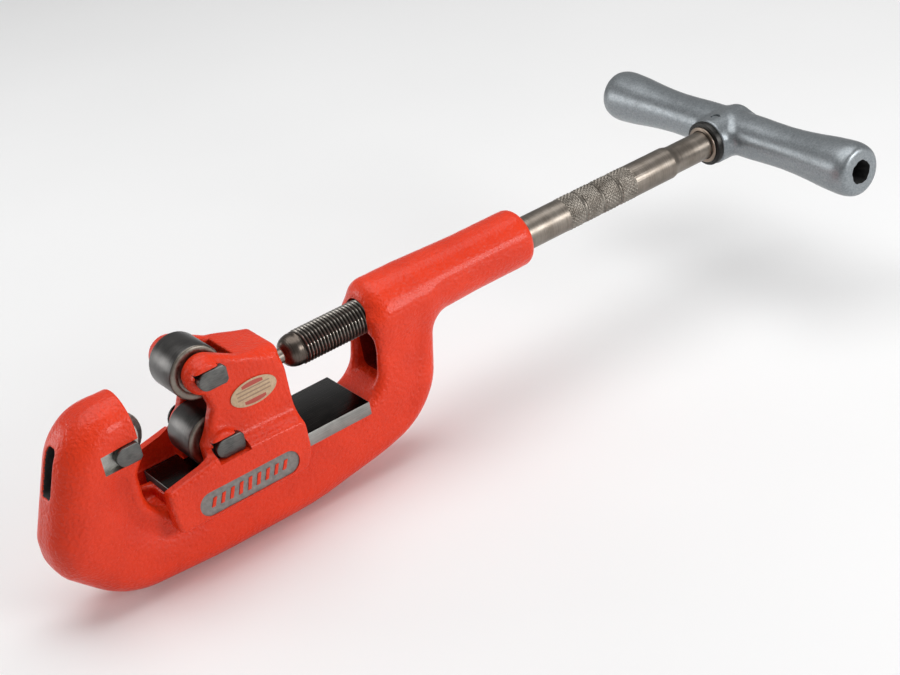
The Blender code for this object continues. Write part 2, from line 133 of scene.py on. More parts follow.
def mesh_object(name, points, faces):
    mesh = bpy.data.meshes.new(name)
    mesh.from_pydata(placed(points).tolist(), [], [tuple(int(i) for i in face) for face in faces])
    work = bmesh.new()
    work.from_mesh(mesh)
    bmesh.ops.recalc_face_normals(work, faces=work.faces)
    work.to_mesh(mesh)
    work.free()
    obj = bpy.data.objects.new(name, mesh)
    bpy.context.scene.collection.objects.link(obj)
    return obj


def combine(base, others, operation):
    """Joins or cuts the others into base and removes them."""
    for other in others:
        step = base.modifiers.new(operation.title(), "BOOLEAN")
        step.operation = operation
        step.solver = "MANIFOLD"
        step.object = other
        bake(base)
        bpy.data.objects.remove(other, do_unlink=True)
    return base


def bake(obj):
    """Applies the object's modifiers."""
    bpy.context.view_layer.update()
    graph = bpy.context.evaluated_depsgraph_get()
    result = bpy.data.meshes.new_from_object(obj.evaluated_get(graph))
    obj.modifiers.clear()
    obj.data = result


def soften(obj, width, segments=2, angle=30.0):
    """A small rounded bevel, width in millimetres, on every edge sharper than the angle."""
    bevel = obj.modifiers.new("Edges", "BEVEL")
    bevel.width = width * MM
    bevel.segments = segments
    bevel.limit_method = "ANGLE"
    bevel.angle_limit = math.radians(angle)
    bevel.harden_normals = False
    bake(obj)
    return obj


def dress(obj, materials, body, nodes=(), angle=38.0):
    """Shading, materials, the body it rides on and the CAD nodes it stands for."""
    obj.data.name = obj.name
    obj.data.materials.clear()
    for mat in materials:
        obj.data.materials.append(mat)
    obj.data.shade_smooth()
    obj.data.set_sharp_from_angle(angle=math.radians(angle))
    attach(obj, body)
    if nodes:
        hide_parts(*nodes)
    return obj


def face_data(obj):
    """Centre in tool millimetres and normal of every face, as arrays."""
    mesh = obj.data
    count = len(mesh.polygons)
    centre = np.empty(count * 3, np.float32)
    normal = np.empty(count * 3, np.float32)
    mesh.polygons.foreach_get("center", centre)
    mesh.polygons.foreach_get("normal", normal)
    return centre.reshape(-1, 3) / MM - SHIFT, normal.reshape(-1, 3)


def assign(obj, index, mask):
    """Gives the faces of the mask that material index."""
    indices = np.empty(len(obj.data.polygons), np.int32)
    obj.data.polygons.foreach_get("material_index", indices)
    indices[mask] = index
    obj.data.polygons.foreach_set("material_index", indices)


def within(values, low, high):
    return (values > low) & (values < high)


def loft(rings):
    """Points and faces of a closed skin through rings of equal length, with a flat face at each end."""
    count = len(rings[0])
    points = [point for ring in rings for point in ring]
    faces = [tuple(range(count)), tuple(range(len(points) - count, len(points)))]
    for k in range(len(rings) - 1):
        for i in range(count):
            j = (i + 1) % count
            faces.append((k * count + i, k * count + j, (k + 1) * count + j, (k + 1) * count + i))
    return points, faces


def turned(name, profile, axis, centre=(0, 0, 0), segments=96):
    """A solid of revolution from (distance along the axis, radius) pairs."""
    rings = []
    for along, radius in profile:
        ring = []
        for k in range(segments):
            angle = 2 * math.pi * (k + 0.5) / segments
            side = radius * math.cos(angle)
            up = radius * math.sin(angle)
            point = {"X": (along, side, up), "Y": (side, along, up), "Z": (side, up, along)}[axis]
            ring.append(tuple(a + b for a, b in zip(point, centre)))
        rings.append(ring)
    return mesh_object(name, *loft(rings))


def rod(name, axis, start, end, radius, centre=(0, 0, 0), segments=96):
    return turned(name, [(start, radius), (end, radius)], axis, centre, segments)


def plate(name, points, y0, y1):
    """A flat plate between y0 and y1 from an (x, z) outline."""
    return mesh_object(name, *loft([[(x, y, z) for x, z in points] for y in (y0, y1)]))


def box(name, x0, x1, y0, y1, z0, z1):
    return plate(name, [(x0, z0), (x1, z0), (x1, z1), (x0, z1)], y0, y1)


def arc(cx, cz, radius, start, end, count):
    """Points (x, z) along an arc, with its angles in degrees."""
    points = []
    for k in range(count + 1):
        angle = math.radians(start + (end - start) * k / count)
        points.append((cx + radius * math.cos(angle), cz + radius * math.sin(angle)))
    return points


def obround(x0, x1, z0, z1, bevel=0.0, count=24):
    """Full round at the -X end, and a full round or a bevel at the +X end."""
    radius = (z1 - z0) / 2
    middle = (z0 + z1) / 2
    left = arc(x0 + radius, middle, radius, 90, 270, count)
    if bevel:
        return left + [(x1 - bevel, z0), (x1, z0 + bevel), (x1, z1 - bevel), (x1 - bevel, z1)]
    return left + arc(x1 - radius, middle, radius, -90, 90, count)


def rounded(corners, step=5.0):
    """A closed anticlockwise outline of (x, z) points from corners (x, z, radius)."""
    outline = []
    total = len(corners)
    for i, (x, z, radius) in enumerate(corners):
        here = Vector((x, z))
        if radius == 0:
            outline.append((x, z))
            continue
        back = (Vector(corners[i - 1][:2]) - here).normalized()
        ahead = (Vector(corners[(i + 1) % total][:2]) - here).normalized()
        half_turn = (math.pi - back.angle(ahead)) / 2
        reach = radius * math.tan(half_turn)
        centre = here + (back + ahead).normalized() * (radius / math.cos(half_turn))
        first = here + back * reach - centre
        last = here + ahead * reach - centre
        start = math.atan2(first.y, first.x)
        turn = math.atan2(last.y, last.x) - start
        turn = (turn + math.pi) % (2 * math.pi) - math.pi
        count = max(1, math.ceil(abs(math.degrees(turn)) / step))
        for k in range(count + 1):
            angle = start + turn * k / count
            outline.append((centre.x + radius * math.cos(angle), centre.y + radius * math.sin(angle)))
    return outline


# ------------------------------------------------------------- distance fields

class Outline:
    """Signed distance to a closed (x, z) outline, negative inside, read from a fine table."""

    STEP = 0.5
    MARGIN = 30.0

    def __init__(self, points):
        line = np.array(points)
        self.low = line.min(axis=0) - self.MARGIN
        high = line.max(axis=0) + self.MARGIN
        xs = np.arange(self.low[0], high[0], self.STEP)
        zs = np.arange(self.low[1], high[1], self.STEP)
        x, z = np.meshgrid(xs, zs, indexing="ij")
        nearest = np.full(x.shape, np.inf)
        inside = np.zeros(x.shape, bool)
        for (ax, az), (bx, bz) in zip(line, np.roll(line, -1, axis=0)):
            ex, ez = bx - ax, bz - az
            length = ex * ex + ez * ez
            if length < 1e-12:
                continue
            share = np.clip(((x - ax) * ex + (z - az) * ez) / length, 0, 1)
            nearest = np.minimum(nearest, (x - ax - ex * share) ** 2 + (z - az - ez * share) ** 2)
            if ez != 0:
                crosses = (az > z) != (bz > z)
                inside ^= crosses & (x < ex * (z - az) / ez + ax)
        self.table = np.sqrt(nearest) * np.where(inside, -1, 1)

    def __call__(self, x, z):
        x, z = np.broadcast_arrays(x, z)
        u = np.clip((x - self.low[0]) / self.STEP, 0, self.table.shape[0] - 1.001)
        v = np.clip((z - self.low[1]) / self.STEP, 0, self.table.shape[1] - 1.001)
        i = u.astype(int)
        j = v.astype(int)
        u = u - i
        v = v - j
        table = self.table
        near = table[i, j] * (1 - u) + table[i + 1, j] * u
        far = table[i, j + 1] * (1 - u) + table[i + 1, j + 1] * u
        return near * (1 - v) + far * v


def join(a, b, reach):
    """Smooth union: a fillet as wide as reach where the two meet."""
    share = np.clip(0.5 + 0.5 * (b - a) / reach, 0, 1)
    return b * (1 - share) + a * share - reach * share * (1 - share)


def keep(a, b, reach):
    """Smooth intersection, with rounded edges."""
    return -join(-a, -b, reach)


def cut(a, b, reach):
    """a with b taken away, with rounded edges."""
    return -join(-a, b, reach)


def meet(a, b, radius):
    """Intersection of two fields with a circular edge of that radius."""
    p = a + radius
    q = b + radius
    return np.minimum(np.maximum(p, q), 0) + np.hypot(np.maximum(p, 0), np.maximum(q, 0)) - radius


def smooth_step(value):
    value = np.clip(value, 0, 1)
    return value * value * (3 - 2 * value)


def skin(name, field, low, high, step):
    """The zero surface of a field as a quad mesh: one point per crossed cell, pulled onto the surface."""
    low = np.array(low, float) - 2 * step
    axes = [np.arange(low[i], high[i] + 2.5 * step, step) for i in range(3)]
    x, y, z = axes[0][:, None, None], axes[1][None, :, None], axes[2][None, None, :]
    values = field(x, y, z)
    values = np.broadcast_to(values, tuple(len(axis) for axis in axes))
    inside = values < 0
    cells = np.array(values.shape) - 1
    total = np.zeros((cells.prod(), 3))
    hits = np.zeros(cells.prod())
    crossings = []
    for axis in range(3):
        ahead = np.roll(inside, -1, axis)
        changed = inside != ahead
        edge = [slice(1, -1)] * 3
        mask = np.zeros_like(changed)
        mask[tuple(edge)] = changed[tuple(edge)]
        index = np.argwhere(mask)
        unit = np.eye(3, dtype=int)[axis]
        here = values[tuple(index.T)]
        there = values[tuple((index + unit).T)]
        point = index + unit * (here / (here - there))[:, None]
        one, two = [np.eye(3, dtype=int)[(axis + k) % 3] for k in (1, 2)]
        around = [index - one - two, index - two, index, index - one]
        ids = [np.ravel_multi_index(tuple(a.T), tuple(cells)) for a in around]
        for flat in ids:
            np.add.at(total, flat, point)
            np.add.at(hits, flat, 1)
        crossings.append((np.stack(ids, axis=1), inside[tuple(index.T)]))
    used = np.flatnonzero(hits)
    number = np.full(cells.prod(), -1)
    number[used] = np.arange(len(used))
    points = low + total[used] / hits[used, None] * step
    points = pull_onto(field, points, step)
    faces = []
    for ids, leaving in crossings:
        quads = number[ids]
        quads[~leaving] = quads[~leaving][:, ::-1]
        faces.append(quads)
    return mesh_object(name, points, np.concatenate(faces))


def pull_onto(field, points, step, rounds=3):
    """Moves points along the field's gradient until they lie on its zero surface."""
    tick = 0.05
    for _ in range(rounds):
        here = field(*points.T)
        slope = np.empty_like(points)
        for axis in range(3):
            moved = points.copy()
            moved[:, axis] += tick
            slope[:, axis] = (field(*moved.T) - here) / tick
        size = np.maximum((slope ** 2).sum(axis=1), 0.04)
        move = -slope * (here / size)[:, None]
        length = np.linalg.norm(move, axis=1, keepdims=True)
        points = points + move * np.minimum(1, 0.5 * step / np.maximum(length, 1e-9))
    return points


# -------------------------------------------------------------------- castings

def frame_field():
    outer = Outline(rounded([
        (-100.0, 25.5, 0), (-176.0, 25.5, 35.0), (-199.3, -36.0, 16.0), (-199.3, -52.3, 22.0),
        (-168.9, -82.7, 48.0), (-112.0, -86.3, 200.0), (-47.0, -86.3, 150.0), (26.5, -66.5, 46.0),
        (40.5, -14.0, 0), (45.0, 25.5, 0),
    ]))
    window = Outline(rounded([
        (-142.5, 70.0, 0), (-142.5, -7.0, 6.0), (-147.5, -14.0, 8.0), (-147.5, -41.0, 15.0),
        (-5.2, -41.0, 17.0), (0.3, -8.0, 0), (0.3, 1.0, 0), (70.0, 1.0, 0), (70.0, 70.0, 0),
    ]))
    pocket = Outline(rounded([
        (-110.0, 18.5, 0), (-160.0, 18.5, 10.0), (-174.0, 4.0, 12.0), (-178.0, -25.0, 12.0),
        (-149.0, -25.0, 6.0), (-149.0, -20.0, 0), (-110.0, -20.0, 0),
    ]))
    throat = Outline(rounded([
        (-132.5, -7.0, 0), (-144.5, -7.0, 0), (-144.5, -10.0, 0), (-153.5, -14.0, 3.0),
        (-153.5, -47.0, 16.0), (-132.5, -47.0, 0),
    ]))
    channel = Outline(rounded([(-30.0, -8.0, 0), (-30.0, -34.0, 0), (16.0, -34.0, 9.0), (19.0, -8.0, 4.0)]))

    def body_field(x, y, z):
        """Hook, spine and arm, with the window and a dish round the throat."""
        depth = outer(x, z)
        opening = window(x, z)
        taper = smooth_step((z + 50.0) / 34.0) * smooth_step((x + 75.0) / 30.0)
        arm = smooth_step((x + 40.0) / 35.0)
        cove = COVE_DEPTH * np.exp(-(((depth + 15.5) / 5.0) ** 2)) * arm
        dish = DISH_DEPTH * np.exp(-(((opening - 12.0) / 6.5) ** 2))
        dish = dish * smooth_step((-108.0 - x) / 20.0) * smooth_step((-4.0 - z) / 12.0)
        near_tip = smooth_step((x + 168.0) / 22.0) * smooth_step((-120.0 - x) / 10.0)
        lean = near_tip * smooth_step((z + 6.0) / 14.0)
        half = FRAME_HALF * (1 - ARM_TAPER * taper) - TIP_SLIM * lean
        rounding = FRAME_ROUND + (ARM_ROUND - FRAME_ROUND) * arm + (TIP_ROUND - FRAME_ROUND) * lean
        body = meet(depth, abs(y) - half + cove + dish, rounding)
        tip = smooth_step((-138.0 - x) / 4.0) * smooth_step((z + 9.0) / 8.0)
        return cut(body, opening, 6.0 - 4.6 * tip)

    def field(x, y, z):
        radius = np.interp(x, [0, 30, 52, 71, 100, 110], [17.9, 17.9, 17.1, 16.5, 16.5, 16.3])
        reach = abs(x - BARREL_LENGTH / 2) - BARREL_LENGTH / 2
        barrel = meet(np.hypot(y, z - BARREL_Z) - radius, reach, np.interp(x, [20, 60], [9.5, 4.6]))
        body = join(body_field(x, y, z), barrel, 9.0)
        body = cut(body, meet(pocket(x, z), abs(y) - POCKET_HALF, 2.0), 2.4)
        body = cut(body, meet(throat(x, z), abs(y) - THROAT_HALF, 3.0), 3.5)
        body = cut(body, meet(channel(x, z), abs(y) - CHANNEL_HALF, 3.5), 4.5)
        slot = meet(abs(z - SLOT_Z) - SLOT_HALF_HEIGHT, abs(y) - SLOT_HALF_WIDTH, 2.5)
        return cut(body, meet(slot, x - SLOT_END, 0.5), 1.4)

    return field


def build_frame(mats):
    obj = skin("frame_casting", frame_field(), (-199.6, -19.1, -86.7), (109.5, 19.1, 25.8), 0.8)
    x0, x1, half, z0, z1 = RAIL
    rail = soften(box("rail", x0, x1, -half, half, z0, z1), 0.5, 2)
    combine(obj, [rail], "UNION")
    seat_x0, seat_x1, seat_y, seat_half = WHEEL_SEAT
    wheel_x, wheel_z = WHEEL
    cutters = [
        box("pin_seat", seat_x0, seat_x1, -30.0, seat_y, wheel_z - seat_half, wheel_z + seat_half),
        rod("pin_bore", "Y", -30, 30, WHEEL_PIN_R + BORE_GAP, (wheel_x, 0, wheel_z)),
        turned("screw_bore", [(-8, 10.8), (0.3, 10.8), (1.6, SCREW_BORE), (130, SCREW_BORE)], "X"),
    ]
    combine(obj, cutters, "DIFFERENCE")
    names = ("frame_paint", "rail_side", "rail_top", "seat_steel", "hole_painted_shade", "inner_paint")
    dress(obj, [mats[name] for name in names], "frame", ("frame",))
    centre, normal = face_data(obj)
    x, y, z = centre.T
    flat_x, flat_y, flat_z = abs(normal).T
    rail_zone = within(x, x0 - 0.1, x1 + 0.1) & within(z, z0 - 0.1, z1 + 0.1)
    rail_end = (flat_x > 0.6) & (x > x1 - 0.7)
    assign(obj, names.index("rail_side"), rail_zone & ((abs(y) > half - 0.7) | (z > z1 - 0.7) | rail_end))
    # The rail's top is dark oxide, with its colour darkened further as painted shade.
    assign(obj, names.index("rail_top"), rail_zone & (z > z1 - 0.1) & (normal[:, 2] > 0.95))
    in_seat = within(x, -164.5, -142.0) & within(y, -18.75, -15.0) & (abs(z - wheel_z) < 5.45)
    seat_floor = (normal[:, 1] < -0.99) & (y > -15.6)
    assign(obj, names.index("seat_steel"), in_seat & (seat_floor | (flat_z > 0.99) | (normal[:, 0] > 0.99)))
    assign(obj, names.index("seat_steel"), (np.hypot(y, z) < SCREW_BORE + 0.05) & (x > 1.6))
    # Painted shade: the rail's front end and the walls of the hook's slot are coloured flat black.
    assign(obj, names.index("hole_painted_shade"), rail_zone & (normal[:, 0] < -0.8) & (x < x0 + 0.7))
    in_slot = (abs(y) < SLOT_HALF_WIDTH + 0.2) & (abs(z - SLOT_Z) < SLOT_HALF_HEIGHT + 0.2)
    assign(obj, names.index("hole_painted_shade"), in_slot & within(x, -190.0, -165.0) & (flat_x < 0.6))
    # Painted shade: the walls of the wheel pocket and of the arm's channel are coloured a darkened red.
    cavity = (flat_y > 0.9) | (normal[:, 0] > 0.3) | (normal[:, 2] < -0.3)
    in_pocket = within(x, -176.0, -144.0) & within(z, -26.0, 19.5) & (abs(y) < POCKET_HALF + 0.15)
    assign(obj, names.index("inner_paint"), in_pocket & cavity & (flat_x < 0.99))
    in_channel = within(x, 3.5, 19.5) & within(z, -36.0, -7.0) & (abs(y) < CHANNEL_HALF + 0.1)
    assign(obj, names.index("inner_paint"), in_channel)


def slide_field():
    arms = [(x, z, 0) for x, z in arc(-100.4, 20.0, 10.8, 68, 252, 40)]
    body_line = Outline(rounded([
        (SLIDE_REAR, -40.0, 0), (SLIDE_REAR, 16.0, 4.0), (-74.5, 20.2, 6.0), (-80.6, 21.4, 3.2), *arms,
        (-101.6, 1.5, 5.0), (-107.0, -10.5, 6.0), (-110.3, -18.0, 4.0), (-110.3, -40.0, 0),
    ]))
    skirt_line = Outline(rounded([
        (SLIDE_REAR - 0.1, -24.0, 5.0), (-112.0, -22.0, 20.0), (-139.2, -27.6, 2.0), (-139.8, -37.0, 4.0),
        (-138.6, -52.4, 4.5), (-61.5, -52.4, 5.0), (SLIDE_REAR - 0.1, -42.0, 6.0),
    ]))

    def far_boss(x, y, z, up, radius):
        round_part = np.hypot(x - ROLLER_X - BOSS_OFFSET, z - up) - radius
        return meet(round_part, np.maximum(y - 22.0, 10.0 - y), 2.2)

    def near_lug(x, y, z, up):
        """The half-moon above a pin head."""
        round_part = np.hypot(x - ROLLER_X - BOSS_OFFSET, z - up) - LUG_R
        round_part = np.maximum(round_part, 3.0 - (z - up))
        return meet(round_part, np.maximum(-y - LUG_FACE, 10.0 + y), 1.6)

    def field(x, y, z):
        fuller = smooth_step((x + 82.0) / 24.0) * smooth_step((z - 2.0) / 10.0)
        body = meet(body_line(x, z), abs(y) - SLIDE_HALF, 3.2 + 5.5 * fuller)
        skirt = meet(skirt_line(x, z), abs(y) - SKIRT_HALF, 2.6)
        whole = join(body, skirt, 10.0)
        whole = join(whole, near_lug(x, y, z, ROLLER_Z), 3.0)
        whole = join(whole, near_lug(x, y, z, -ROLLER_Z), 3.0)
        whole = join(whole, far_boss(x, y, z, ROLLER_Z, 10.1), 3.0)
        whole = join(whole, far_boss(x, y, z, -ROLLER_Z, 8.5), 3.0)
        whole = meet(whole, x - SLIDE_REAR, 2.5)
        pocket = np.maximum(abs(y) - FORK_INNER, x + 81.0)
        return cut(whole, pocket, 1.6)

    return field


def slide_cutters():
    x0, x1, z0, z1, depth = BADGE
    seat_x0, seat_x1, seat_y, seat_half = ROLLER_SEAT
    way_half = 20.8
    cutters = [
        box("rail_channel", -160, -40, -way_half, way_half, -45.2, SOLE_Z),
        box("lip_channel", -160, -40, -19.3, 19.3, -60, -45.0),
        soften(box("front_gap", -160, -110.9, -way_half, way_half, -37.5, 10), 1.5, 3),
        plate("badge_recess", obround(x0, x1, z0, z1), -SKIRT_HALF - 5, -SKIRT_HALF + depth),
        rod("nose_bore", "X", -80.0, -50.0, 4.4),
        rod("spot_face", "Y", 22.1, 40, 9.6, (ROLLER_X, 0, -ROLLER_Z)),
    ]
    for z in (-ROLLER_Z, ROLLER_Z):
        cutters.append(rod("pin_bore", "Y", -40, 40, ROLLER_PIN_R + BORE_GAP, (ROLLER_X, 0, z)))
        cutters.append(box("pin_seat", seat_x0, seat_x1, -40, seat_y, z - seat_half, z + seat_half))
    for side in (-1, 1):
        cutters.append(rod("nose_pin_bore", "Z", -50.0, 7.0, 2.3, (-66.0, side * 5.4, 0), 32))
    return cutters


def build_slide(mats):
    obj = skin("slide_casting", slide_field(), (-142.3, -27.1, -52.6), (-56.2, 27.1, 33.0), 0.65)
    combine(obj, slide_cutters(), "DIFFERENCE")
    names = ("slide_paint", "seat_dark", "badge_grey")
    dress(obj, [mats[name] for name in names], "slide", ("slide_housing",))
    centre, normal = face_data(obj)
    x, y, z = centre.T
    seat_x0, seat_x1, seat_y, seat_half = ROLLER_SEAT
    seat_floor = within(x, seat_x0 - 0.1, seat_x1 + 0.1) & (y < seat_y + 0.1) & (y > seat_y - 0.1)
    # The roller seats' floors and the ceiling of the rail channel get dark milled steel, darkened further as
    # painted shade.
    for level in (-ROLLER_Z, ROLLER_Z):
        seat = seat_floor & (abs(z - level) < seat_half + 0.1)
        assign(obj, names.index("seat_dark"), seat & (normal[:, 1] < -0.99))
    assign(obj, names.index("seat_dark"), (abs(y) < 20.9) & (abs(z - SOLE_Z) < 0.05))
    x0, x1, z0, z1, depth = BADGE
    badge = within(x, x0, x1) & within(z, z0, z1) & (abs(y + SKIRT_HALF - depth) < 0.05)
    assign(obj, names.index("badge_grey"), badge)
    build_badge_marks(mats)


def build_badge_marks(mats):
    """A plain raised ornament of slanted bars in the badge's grey field."""
    x0, x1, z0, z1, depth = BADGE
    floor = -SKIRT_HALF + depth
    middle = (z0 + z1) / 2
    margin = 8.5
    slant = 2.2
    last = 8
    for k in range(last + 1):
        x = x0 + margin + (x1 - x0 - 2 * margin) * k / last
        tall = 3.4 - 0.9 * abs(k - last / 2) / (last / 2)
        low, high = middle - tall, middle + tall
        points = [(x - slant, low), (x, low), (x + slant, high), (x, high)]
        mark = soften(plate(f"badge_bar_{k + 1}", points, floor - 0.45, floor + 0.1), 0.35, 2)
        dress(mark, [mats["slide_paint"]], "slide")


def handle_field():
    along = [0, 8, 22, 33, 45, 56, 68, 80, 91, 105]
    radii = [13.1, 13.0, 12.9, 12.5, 12.3, 12.7, 13.6, 14.9, 15.6, 15.6]
    fine = np.linspace(0, 105, 211)
    coarse = np.interp(fine, along, radii)
    kernel = np.hanning(25) / np.hanning(25).sum()
    smooth = np.convolve(np.pad(coarse, 12, mode="edge"), kernel, mode="valid")

    def field(x, y, z):
        radius = np.interp(abs(y), fine, smooth) - 2.4 * np.clip((abs(y) - 91.0) / 11.0, 0, 1) ** 3
        bar = meet(np.hypot(x - HANDLE_X, z) - radius, abs(y) - HANDLE_HALF, 2.2)
        rear = meet(np.hypot(y, z) - 13.75, x - HANDLE_X - 11.5, 5.0)
        boss = meet(rear, BOSS_FRONT - x, 1.2)
        reach = 2.0 + 4.0 * smooth_step((12.0 - abs(z)) / 6.5)
        return join(bar, boss, reach)

    return field


def build_handle(mats):
    obj = skin("t_handle_casting", handle_field(), (253.4, -102.0, -15.8), (288.4, 102.0, 15.8), 0.7)
    centre = (HANDLE_X, 0, 0)
    cutters = [
        rod("shank_bore", "X", 240, 279.4, SHANK_END_R + BORE_GAP),
        rod("cross_hole", "Z", -30, 30, CROSS_PIN_R + BORE_GAP, (CROSS_PIN_X, 0, 0), 48),
        ragged_rod("end_hole", 40, 120, centre),
        ragged_rod("end_hole", -120, -40, centre),
    ]
    combine(obj, cutters, "DIFFERENCE")
    dress(obj, [mats["handle_paint"], mats["hole_painted_shade"]], "screw", ("t_handle",))
    x, y, z = face_data(obj)[0].T
    radial = np.hypot(x - HANDLE_X, z)
    # Painted shade: the insides of the handle's end holes are coloured black.
    assign(obj, 1, within(abs(y), 39.5, HANDLE_HALF - 0.2) & (radial < 7.6))


def ragged_rod(name, start, end, centre):
    """The slightly uneven cast hole in the end of the T-handle."""
    count = 64
    ring = []
    for k in range(count):
        angle = 2 * math.pi * k / count
        radius = 7.0 + 0.22 * math.sin(5 * angle + 0.7) + 0.14 * math.sin(11 * angle) - 0.1
        ring.append((radius * math.cos(angle), radius * math.sin(angle)))
    rings = [[(centre[0] + a, y, centre[2] + b) for a, b in ring] for y in (start, end)]
    return mesh_object(name, *loft(rings))


# ----------------------------------------------------------------- turned parts

def build_screw(mats):
    """One skin of rings along X. The thread and the knurl are cut into it as height."""
    segments = 192
    angle = 2 * np.pi * np.arange(segments) / segments
    rings = []
    for along in screw_stations():
        radius = screw_radius(along, angle)
        points = zip(radius * np.cos(angle), radius * np.sin(angle))
        rings.append([(along, side, up) for side, up in points])
    obj = mesh_object("feed_screw_detailed", *loft(rings))
    hole = rod("pin_hole", "Z", -20, 20, CROSS_PIN_R + BORE_GAP, (CROSS_PIN_X, 0, 0), 48)
    combine(obj, [hole], "DIFFERENCE")
    dress(obj, [mats["shank_steel"], mats["thread_steel"], mats["knurl_steel"], mats["nose_steel"]], "screw",
          ("feed_screw",), angle=50.0)
    x = face_data(obj)[0][:, 0]
    thread_start = THREAD[0] + 1.5
    assign(obj, 1, within(x, thread_start, THREAD[1] + 4))
    assign(obj, 3, (x > -48.9) & (x <= thread_start))
    assign(obj, 2, within(x, KNURL_START, KNURL_END))


# Distance along the screw and radius, from the thrust button's seat to the start of the thread
SCREW_PROFILE = [
    (-73.0, 3.4), (-72.4, 4.0), (-68.6, 4.0), (-68.5, 3.0), (-63.5, 3.0), (-63.4, 4.0), (-49.4, 4.0),
    (-48.9, 4.6), (-48.4, 5.5), (-47.4, 6.8), (-46.0, 7.8), (-44.4, 8.5), (-42.8, 8.9), (-41.4, 9.05),
    (-40.6, 8.9),
]


def screw_stations():
    """Distances along the screw at which its skin has a ring."""
    stations = [along for along, _ in SCREW_PROFILE]
    stations += list(np.arange(THREAD[0], THREAD[1] + 2.0, PITCH / 10))
    stations += [73.0, 100.0, KNURL_START - 0.3]
    for k in range(4):
        start = KNURL_START + k * (KNURL_BAND + KNURL_GAP)
        stations += list(np.arange(start, start + KNURL_BAND + 0.001, 0.25))
        if k < 3:
            stations += [start + KNURL_BAND + 0.35, start + KNURL_BAND + KNURL_GAP - 0.35]
    stations += [190.0, 205.0, 219.3, 219.5, 220.5, 221.5, 222.5, 223.5, 240.0, 258.0, 274.0, 278.0, 278.8]
    return sorted(set(round(float(s), 4) for s in stations))


def screw_radius(along, angle):
    """Radius of the screw at a distance along it, for each angle."""
    along_points, radii = zip(*SCREW_PROFILE)
    if along < THREAD[0]:
        return np.full(angle.shape, np.interp(along, along_points, radii))
    if along < THREAD[1] + 2.0:
        phase = (along / PITCH - angle / (2 * np.pi)) % 1.0
        rise = np.clip((np.abs(phase - 0.5) * 2 - 0.08) / 0.8, 0, 1)
        fade = min(1.0, (along - THREAD[0]) / 1.4, max(0.0, (THREAD[1] - along) / 3.0))
        start = 9.05 if along < 0 else SHANK_R
        deep = CREST_R + (ROOT_R - CREST_R) * (1 - rise)
        return start + (deep - start) * max(0.0, fade)
    if KNURL_START <= along <= KNURL_END:
        return knurl_radius(along, angle)
    if along > 278.4:
        return np.full(angle.shape, SHANK_END_R - 0.8)
    return np.full(angle.shape, np.interp(along, [219.5, 223.5], [SHANK_R, SHANK_END_R]))


def knurl_radius(along, angle):
    """Four diamond-knurled bands with smooth grooves between them."""
    local = (along - KNURL_START) % (KNURL_BAND + KNURL_GAP)
    if local > KNURL_BAND + 0.001:
        return np.full(angle.shape, SHANK_R - 0.5)
    turns = angle / (2 * np.pi) * KNURL_DIAMONDS
    slant = along / 2.5
    one = np.abs((turns + slant) % 1 - 0.5) * 2
    two = np.abs((turns - slant) % 1 - 0.5) * 2
    rise = np.clip(np.minimum(one, two) * 1.7, 0, 1)
    edge = min(1.0, local / 0.5, max(0.0, (KNURL_BAND - local) / 0.5))
    return SHANK_R + (0.2 - 0.6 * (1 - rise)) * edge


def build_rollers(mats):
    half = ROLLER_HALF
    outer = ROLLER_R
    inner = ROLLER_PIN_R + BORE_GAP
    right = [
        (half - 1.3, outer), (half - 0.75, outer - 0.15), (half - 0.25, outer - 0.7), (half, outer - 1.3),
        (half, outer - 3.9), (half - 0.35, outer - 4.2), (half - 0.35, outer - 4.4),
    ]
    profile = [(-along, radius) for along, radius in right[::-1]] + right
    for name, z in (("upper", ROLLER_Z), ("lower", -ROLLER_Z)):
        centre = (ROLLER_X, 0, z)
        obj = turned(f"{name}_roller_turned", profile, "Y", centre, 128)
        combine(obj, [rod("bore", "Y", -20, 20, inner, centre)], "DIFFERENCE")
        dress(obj, [mats["roller_steel"], mats["roller_face"]], f"{name}_roller", (f"{name}_roller",),
              angle=50.0)
        normal = face_data(obj)[1]
        assign(obj, 1, abs(normal[:, 1]) > 0.3)


def build_wheel(mats):
    hub = 8.9
    right = [
        (0.12, WHEEL_R), (0.5, 14.6), (2.5, 12.2), (3.0, 11.6), (3.1, 8.9), (3.5, 8.4), (hub - 0.4, 8.4),
        (hub, 8.0),
    ]
    profile = [(-along, radius) for along, radius in right[::-1]] + right
    centre = (WHEEL[0], 0, WHEEL[1])
    obj = turned("cutter_wheel_ground", profile, "Y", centre, 144)
    combine(obj, [rod("bore", "Y", -20, 20, WHEEL_PIN_R + BORE_GAP, centre)], "DIFFERENCE")
    dress(obj, [mats["wheel_steel"]], "wheel", ("cutter_wheel",), angle=25.0)


def build_pin(name, centre, radius, head, shank, groove, body, mats):
    """A key-headed pin; head is (x0, x1, half height, y0, y1), and groove holds the clip's y0 and y1."""
    x0, x1, half, y0, y1 = head
    z = centre[2]
    pin = soften(plate(f"{name}_milled", obround(x0, x1, z - half, z + half, bevel=1.6), y0, y1), 0.45, 3, 40.0)
    profile = [
        (y1 - 1.0, radius), (groove[0], radius), (groove[0] + 0.01, radius - 0.9), (groove[1], radius - 0.9),
        (groove[1] + 0.01, radius), (shank - 0.6, radius), (shank, radius - 0.6),
    ]
    combine(pin, [turned("shaft", profile, "Y", centre)], "UNION")
    dress(pin, [mats["pin_steel"]], body, (name,), angle=45.0)


